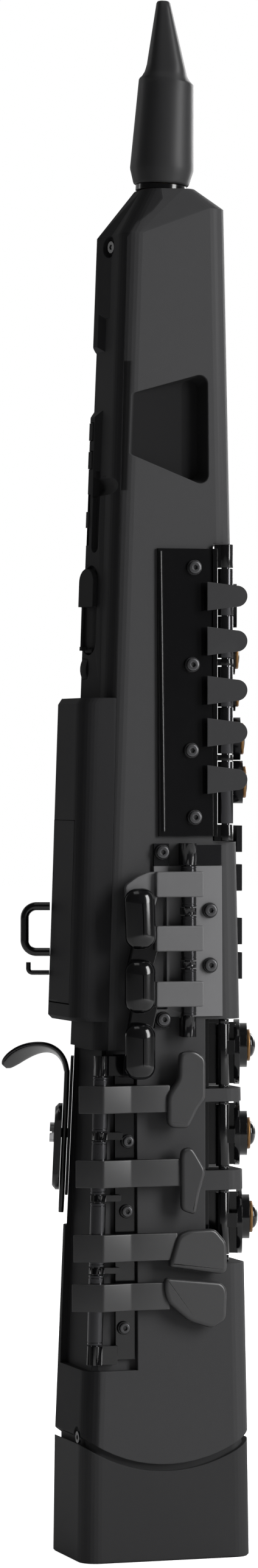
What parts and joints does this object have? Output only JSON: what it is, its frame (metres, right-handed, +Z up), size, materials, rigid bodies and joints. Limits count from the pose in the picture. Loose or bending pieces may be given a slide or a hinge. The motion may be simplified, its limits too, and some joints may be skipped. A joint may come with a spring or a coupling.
{
  "type": "digital wind controller",
  "caption": "Straight-bodied electronic saxophone: tapered black housing with sprung finger, side, palm and little finger keys, lower levers, thumb hook, strap ring and a pull-off mouthpiece.",
  "frame": {"origin": "centre of the bottom cap's flat base", "axes": "+Z up along the body to the neck, -Y to the front where the pearls are, -X to the player's right, where the side keys are"},
  "size_m": [0.0821, 0.1351, 0.7861],
  "materials": {
    "shell_black": "fine matte texture",
    "rear_black": "fine matte texture",
    "cap_black": "fine matte texture",
    "gloss_black": "gloss",
    "key_grey": "satin",
    "key_black": "satin",
    "plate_grey": "satin",
    "rod_steel": "blackened",
    "screw_steel": "blackened",
    "pearl_ring": "brushed",
    "cork": "cork",
    "mouth_black": "polished",
    "inner_grey": "moulded",
    "board_green": "solder mask",
    "cell": "printed sleeve"
  },
  "bodies": {
    "body": {"front_shell": "shell_black", "rear_shell": "rear_black", "bottom_cap": "cap_black", "neck_collar": "gloss_black", "neck_tube": "cork", "upper_bracket": "gloss_black", "lower_stack_bracket": "key_black", "side_bracket": "plate_grey", "lever_bracket": "plate_grey", "left_bracket": "plate_grey", "hinge_rods": "rod_steel", "bracket_screws": "screw_steel", "case_screws": "screw_steel", "control_rail": "rear_black", "strap_ring": "gloss_black", "cable_hook": "gloss_black", "speaker": "inner_grey", "main_board": "board_green", "batteries": "cell", "breath_sensor": "inner_grey", "hook_plate": "rear_black"},
    "front_f_key": {"front_f_key": "key_grey"},
    "b_key": {"b_key": "key_grey", "b_pearl": "pearl_ring"},
    "bis_key": {"bis_key": "key_grey", "bis_pearl": "pearl_ring"},
    "a_key": {"a_key": "key_grey", "a_pearl": "pearl_ring"},
    "g_key": {"g_key": "key_grey", "g_pearl": "pearl_ring"},
    "lower_f_key": {"lower_f_key": "key_black", "lower_f_pearl": "pearl_ring"},
    "lower_e_key": {"lower_e_key": "key_black", "lower_e_pearl": "pearl_ring"},
    "lower_d_key": {"lower_d_key": "key_black", "lower_d_pearl": "pearl_ring"},
    "side_key_1": {"side_key_1": "key_grey"},
    "side_key_2": {"side_key_2": "key_grey"},
    "side_key_3": {"side_key_3": "key_grey"},
    "lever_1": {"lever_1": "key_grey"},
    "lever_2": {"lever_2": "key_grey"},
    "lever_3": {"lever_3": "key_grey"},
    "lever_4": {"lever_4": "key_grey"},
    "table_key_1": {"table_key_1": "key_black"},
    "table_key_2": {"table_key_2": "key_black"},
    "table_key_3": {"table_key_3": "key_black"},
    "table_key_4": {"table_key_4": "key_black"},
    "palm_key_1": {"palm_key_1": "key_black"},
    "palm_key_2": {"palm_key_2": "key_black"},
    "palm_key_3": {"palm_key_3": "key_black"},
    "octave_key": {"octave_key": "rear_black"},
    "bend_lever": {"bend_lever": "rear_black"},
    "power_button": {"power_button": "rear_black"},
    "function_button": {"function_button": "rear_black"},
    "volume_slider": {"volume_slider": "rear_black"},
    "thumb_hook": {"thumb_hook": "gloss_black", "clamp_plate": "gloss_black"},
    "battery_door": {"battery_door": "rear_black"},
    "mouthpiece": {"mouthpiece": "mouth_black"}
  },
  "joints": [
    {"name": "front_f_key_press", "type": "hinge", "parent": "body", "child": "front_f_key", "pos_m": [-0.02503, -0.03172, 0.48], "axis": [0, 0, 1], "range_deg": [0, 7], "stiffness_Nm_per_rad": 0.03, "springref_deg": -14.32},
    {"name": "b_key_press", "type": "hinge", "parent": "body", "child": "b_key", "pos_m": [-0.02503, -0.03172, 0.4556], "axis": [0, 0, 1], "range_deg": [0, 7], "stiffness_Nm_per_rad": 0.03, "springref_deg": -14.32},
    {"name": "bis_key_press", "type": "hinge", "parent": "body", "child": "bis_key", "pos_m": [-0.02503, -0.03172, 0.434], "axis": [0, 0, 1], "range_deg": [0, 7], "stiffness_Nm_per_rad": 0.03, "springref_deg": -14.32},
    {"name": "a_key_press", "type": "hinge", "parent": "body", "child": "a_key", "pos_m": [-0.02503, -0.03172, 0.4122], "axis": [0, 0, 1], "range_deg": [0, 7], "stiffness_Nm_per_rad": 0.03, "springref_deg": -14.32},
    {"name": "g_key_press", "type": "hinge", "parent": "body", "child": "g_key", "pos_m": [-0.02503, -0.03172, 0.3902], "axis": [0, 0, 1], "range_deg": [0, 7], "stiffness_Nm_per_rad": 0.03, "springref_deg": -14.32},
    {"name": "lower_f_key_press", "type": "hinge", "parent": "body", "child": "lower_f_key", "pos_m": [-0.02079, -0.03162, 0.2565], "axis": [0, 0, 1], "range_deg": [0, 5.5], "stiffness_Nm_per_rad": 0.03, "springref_deg": -14.32},
    {"name": "lower_e_key_press", "type": "hinge", "parent": "body", "child": "lower_e_key", "pos_m": [-0.02079, -0.03162, 0.2118], "axis": [0, 0, 1], "range_deg": [0, 5.5], "stiffness_Nm_per_rad": 0.03, "springref_deg": -14.32},
    {"name": "lower_d_key_press", "type": "hinge", "parent": "body", "child": "lower_d_key", "pos_m": [-0.02079, -0.03162, 0.1694], "axis": [0, 0, 1], "range_deg": [0, 5.5], "stiffness_Nm_per_rad": 0.03, "springref_deg": -14.32},
    {"name": "side_key_1_press", "type": "hinge", "parent": "body", "child": "side_key_1", "pos_m": [-0.0326, -0.0096, 0.3391], "axis": [0, 0, 1], "range_deg": [-4.5, 0], "stiffness_Nm_per_rad": 0.03, "springref_deg": 14.32},
    {"name": "side_key_2_press", "type": "hinge", "parent": "body", "child": "side_key_2", "pos_m": [-0.0326, -0.0096, 0.312], "axis": [0, 0, 1], "range_deg": [-4.5, 0], "stiffness_Nm_per_rad": 0.03, "springref_deg": 14.32},
    {"name": "side_key_3_press", "type": "hinge", "parent": "body", "child": "side_key_3", "pos_m": [-0.0326, -0.0096, 0.2842], "axis": [0, 0, 1], "range_deg": [-4.5, 0], "stiffness_Nm_per_rad": 0.03, "springref_deg": 14.32},
    {"name": "lever_1_press", "type": "hinge", "parent": "body", "child": "lever_1", "pos_m": [-0.0298, 0.0354, 0.253], "axis": [0, -0.0236, 0.9997], "range_deg": [0, 3], "stiffness_Nm_per_rad": 0.03, "springref_deg": -11.46},
    {"name": "lever_2_press", "type": "hinge", "parent": "body", "child": "lever_2", "pos_m": [-0.0298, 0.0354, 0.253], "axis": [0, -0.0236, 0.9997], "range_deg": [0, 3], "stiffness_Nm_per_rad": 0.03, "springref_deg": -11.46},
    {"name": "lever_3_press", "type": "hinge", "parent": "body", "child": "lever_3", "pos_m": [-0.0298, 0.0354, 0.253], "axis": [0, -0.0236, 0.9997], "range_deg": [0, 3], "stiffness_Nm_per_rad": 0.03, "springref_deg": -11.46},
    {"name": "lever_4_press", "type": "hinge", "parent": "body", "child": "lever_4", "pos_m": [-0.0298, 0.0354, 0.253], "axis": [0, -0.0236, 0.9997], "range_deg": [0, 3], "stiffness_Nm_per_rad": 0.03, "springref_deg": -11.46},
    {"name": "table_key_1_press", "type": "hinge", "parent": "body", "child": "table_key_1", "pos_m": [0.0306, -0.0335, 0.3614], "axis": [0, 0, 1], "range_deg": [-3.5, 0], "stiffness_Nm_per_rad": 0.03, "springref_deg": 14.32},
    {"name": "table_key_2_press", "type": "hinge", "parent": "body", "child": "table_key_2", "pos_m": [0.0306, -0.0335, 0.3417], "axis": [0, 0, 1], "range_deg": [-3.5, 0], "stiffness_Nm_per_rad": 0.03, "springref_deg": 14.32},
    {"name": "table_key_3_press", "type": "hinge", "parent": "body", "child": "table_key_3", "pos_m": [0.0306, -0.0335, 0.3145], "axis": [0, 0, 1], "range_deg": [-3.5, 0], "stiffness_Nm_per_rad": 0.03, "springref_deg": 14.32},
    {"name": "table_key_4_press", "type": "hinge", "parent": "body", "child": "table_key_4", "pos_m": [0.0306, -0.0335, 0.297], "axis": [0, 0, 1], "range_deg": [-3.5, 0], "stiffness_Nm_per_rad": 0.03, "springref_deg": 14.32},
    {"name": "palm_key_1_press", "type": "hinge", "parent": "body", "child": "palm_key_1", "pos_m": [0.0295, -0.01, 0.592], "axis": [0, 0, 1], "range_deg": [0, 6], "stiffness_Nm_per_rad": 0.03, "springref_deg": -14.32},
    {"name": "palm_key_2_press", "type": "hinge", "parent": "body", "child": "palm_key_2", "pos_m": [0.0295, -0.01, 0.563], "axis": [0, 0, 1], "range_deg": [0, 6], "stiffness_Nm_per_rad": 0.03, "springref_deg": -14.32},
    {"name": "palm_key_3_press", "type": "hinge", "parent": "body", "child": "palm_key_3", "pos_m": [0.0295, -0.01, 0.534], "axis": [0, 0, 1], "range_deg": [0, 6], "stiffness_Nm_per_rad": 0.03, "springref_deg": -14.32},
    {"name": "octave_key_press", "type": "hinge", "parent": "body", "child": "octave_key", "pos_m": [0.00981, 0.0324, 0.45651], "axis": [0.9703, 0.2419, 0], "range_deg": [0, 1.5], "stiffness_Nm_per_rad": 0.05, "springref_deg": -11.46},
    {"name": "bend_lever_tilt", "type": "hinge", "parent": "body", "child": "bend_lever", "pos_m": [0.01198, 0.02521, 0.44709], "axis": [0.9703, 0.2419, 0], "range_deg": [-8, 8], "stiffness_Nm_per_rad": 0.02},
    {"name": "power_button_press", "type": "slide", "parent": "body", "child": "power_button", "axis": [-0.309, -0.9511, 0], "range_m": [0, 0.0005], "stiffness_N_per_m": 600, "springref_m": -0.0015},
    {"name": "function_button_press", "type": "slide", "parent": "body", "child": "function_button", "axis": [-0.309, -0.9511, 0], "range_m": [0, 0.0005], "stiffness_N_per_m": 600, "springref_m": -0.0015},
    {"name": "volume_slide", "type": "slide", "parent": "body", "child": "volume_slider", "axis": [0, 0, 1], "range_m": [-0.0085, 0.0085]},
    {"name": "thumb_hook_slide", "type": "slide", "parent": "body", "child": "thumb_hook", "axis": [-0.0135, -0.0415, 0.999], "range_m": [-0.006, 0.006]},
    {"name": "battery_door_swing", "type": "hinge", "parent": "body", "child": "battery_door", "pos_m": [0, 0.04717, 0.28018], "axis": [-1, 0, 0], "range_deg": [0, 85]},
    {"name": "mouthpiece_pull", "type": "slide", "parent": "body", "child": "mouthpiece", "axis": [0, -0.0523, 0.9986], "range_m": [0, 0.03]}
  ]
}
